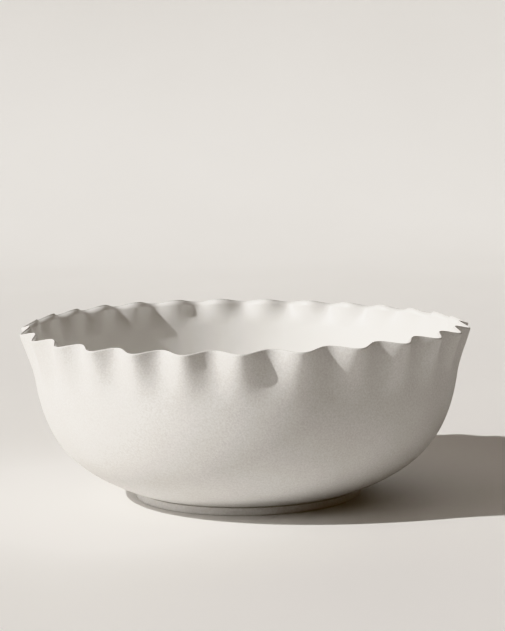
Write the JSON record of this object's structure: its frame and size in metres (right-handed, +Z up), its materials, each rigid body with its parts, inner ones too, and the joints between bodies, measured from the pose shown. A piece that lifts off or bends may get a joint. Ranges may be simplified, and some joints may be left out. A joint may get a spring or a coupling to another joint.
{
  "type": "serving bowl",
  "caption": "Deep round porcelain serving bowl with a thin ruffled lip, a glazed inside and a low foot ring.",
  "frame": {"origin": "on the bowl's axis, on the surface that the foot ring stands on", "axes": "+Z up along the bowl's axis, -Y towards the front, +X to the right seen from the front"},
  "size_m": [0.2777, 0.2791, 0.1095],
  "materials": {
    "bare_porcelain": "matt, finely sandy",
    "foot_porcelain": "matt, rubbed smooth",
    "fired_slip": "matt",
    "satin_glaze": "satin"
  },
  "bodies": {
    "root": {"bowl_body": "bare_porcelain", "foot_ring": "foot_porcelain", "luting_slip": "fired_slip", "glaze_lining": "satin_glaze"}
  },
  "joints": []
}
